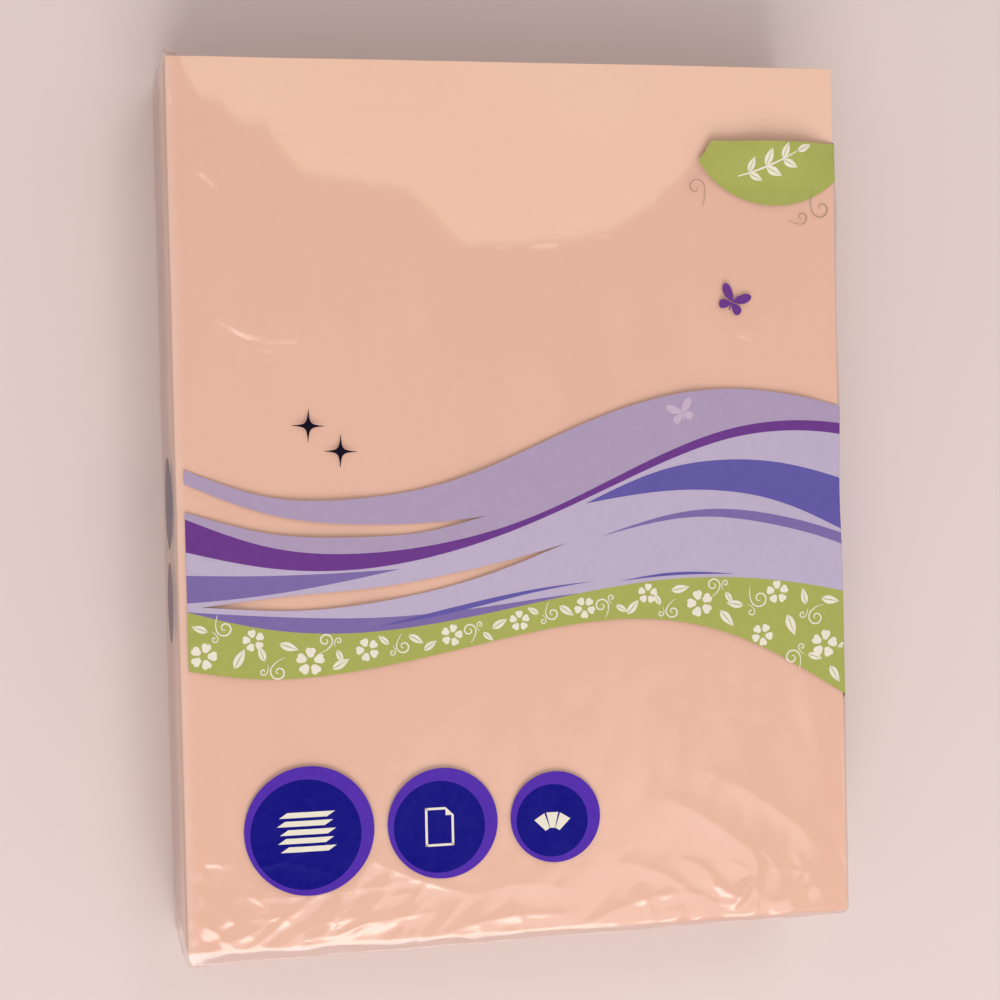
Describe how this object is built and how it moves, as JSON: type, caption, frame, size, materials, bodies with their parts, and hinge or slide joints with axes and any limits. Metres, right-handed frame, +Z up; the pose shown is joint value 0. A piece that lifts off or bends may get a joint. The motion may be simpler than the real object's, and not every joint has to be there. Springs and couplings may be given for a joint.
{
  "type": "ream of paper",
  "caption": "Ream of pastel letter paper lying flat in a clear printed film wrapper that is torn open across its front and top end.",
  "frame": {"origin": "on the surface that the ream lies on, under the middle of the top sheet", "axes": "+Z up and out of the printed front, +Y towards the torn top end, +X to the right of someone who reads the front"},
  "size_m": [0.2194, 0.2851, 0.0516],
  "materials": {
    "pastel_paper": "matt, smooth copy paper",
    "clear_film": "clear glossy film, wrinkled",
    "lavender_ink": "gloss print under film",
    "pale_lavender_ink": "gloss print under film",
    "violet_ink": "gloss print under film",
    "blue_ink": "gloss print under film",
    "green_ink": "gloss print under film",
    "purple_ink": "gloss print under film",
    "navy_ink": "gloss print under film"
  },
  "bodies": {
    "root": {"paper_stack": "pastel_paper", "film_wrapper": "clear_film", "print_lavender_wave": "lavender_ink", "print_pale_wave": "pale_lavender_ink", "print_violet_ribbon": "violet_ink", "print_blue_bands": "blue_ink", "print_green_band": "green_ink", "print_corner_badge": "green_ink", "print_badge_rims": "purple_ink", "print_badge_discs": "navy_ink", "print_stars": "navy_ink", "print_butterfly": "violet_ink"}
  },
  "joints": []
}
